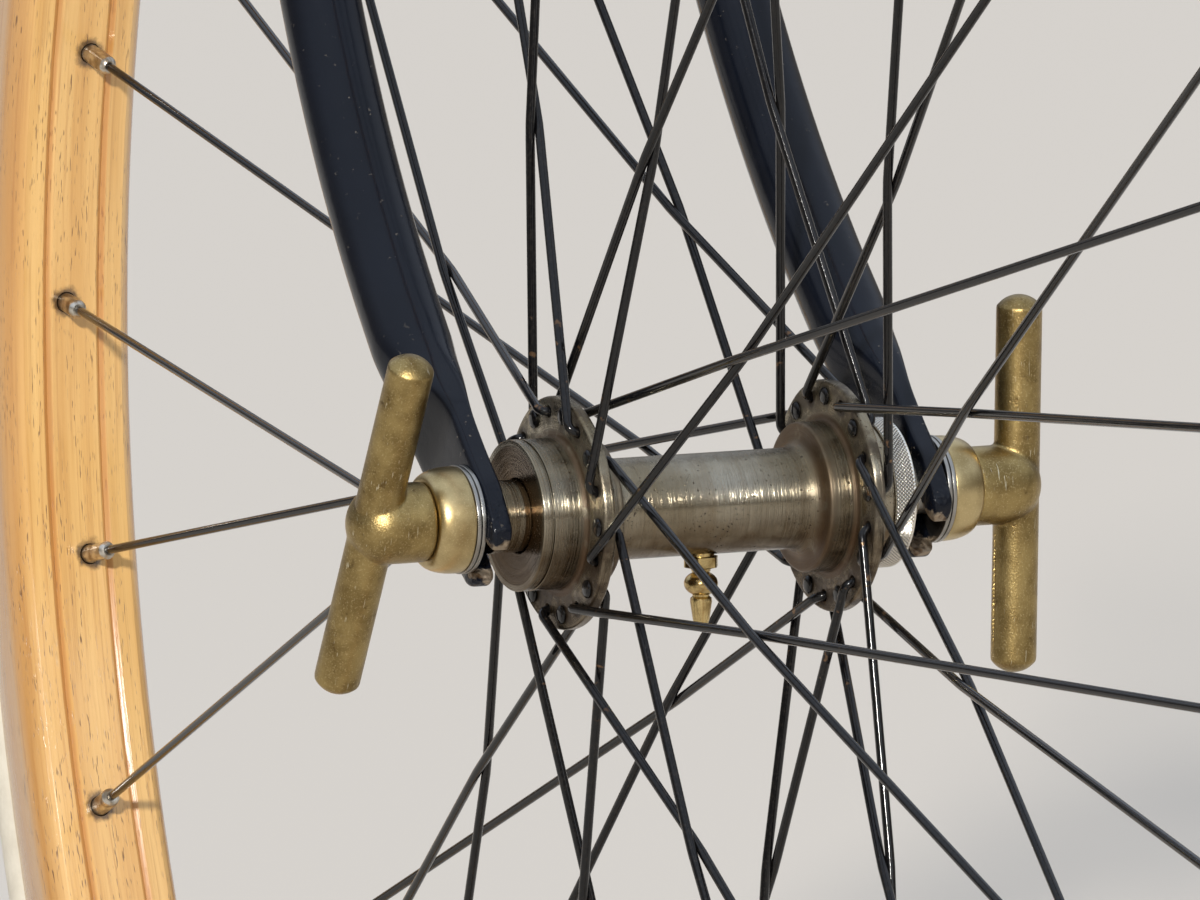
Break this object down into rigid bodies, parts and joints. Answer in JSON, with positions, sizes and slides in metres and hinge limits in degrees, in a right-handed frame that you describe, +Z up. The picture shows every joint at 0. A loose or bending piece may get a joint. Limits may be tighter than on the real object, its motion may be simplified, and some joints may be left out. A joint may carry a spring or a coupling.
{
  "type": "racing bicycle front wheel in its fork",
  "caption": "Wooden-rimmed tubular front wheel with a laced wire-spoked hub, held in a curved steel fork by T-bar wing nuts.",
  "frame": {"origin": "top of the crown race seat, on the steering axis", "axes": "+X forward, +Y to the rider's left along the wheel's axle, +Z up; the steering axis leans back by 21 degrees"},
  "size_m": [0.6797, 0.1442, 0.8325],
  "materials": {
    "fork_enamel": "gloss very dark blue enamel",
    "steerer_steel": "bare turned steel",
    "axle_steel": "plated steel, dulled",
    "hub_nickel": "polished nickel, warm, stained round the holes",
    "bronze": "cast bronze, satin and granular",
    "brass_fitting": "bright brass",
    "rim_wood": "varnished beech, glossy",
    "tyre_rubber": "cream tubular tyre, satin",
    "spoke_black": "gloss black enamel",
    "nipple_nickel": "nickelled brass, worn"
  },
  "bodies": {
    "fork": {"steerer": "steerer_steel", "fork_crown": "fork_enamel", "fork_blade_left": "fork_enamel", "fork_blade_right": "fork_enamel", "axle": "axle_steel", "cone_left": "hub_nickel", "plate_washer_left": "axle_steel", "domed_washer_left": "bronze", "wing_nut_left": "bronze", "cone_right": "hub_nickel", "plate_washer_right": "axle_steel", "domed_washer_right": "bronze", "wing_nut_right": "bronze"},
    "wheel": {"hub_shell": "hub_nickel", "cup_left": "hub_nickel", "cup_right": "hub_nickel", "grease_nipple": "brass_fitting", "rim": "rim_wood", "tyre": "tyre_rubber", "valve": "nipple_nickel", "nipples_left": "nipple_nickel", "nipples_right": "nipple_nickel", "spokes_left_outer": "spoke_black", "spokes_left_inner": "spoke_black", "spokes_right_outer": "spoke_black", "spokes_right_inner": "spoke_black"}
  },
  "joints": [
    {"name": "wheel_spin", "type": "hinge", "parent": "fork", "child": "wheel", "pos_m": [0.17193, 0, -0.33675], "axis": [0, 1, 0], "continuous": true}
  ]
}
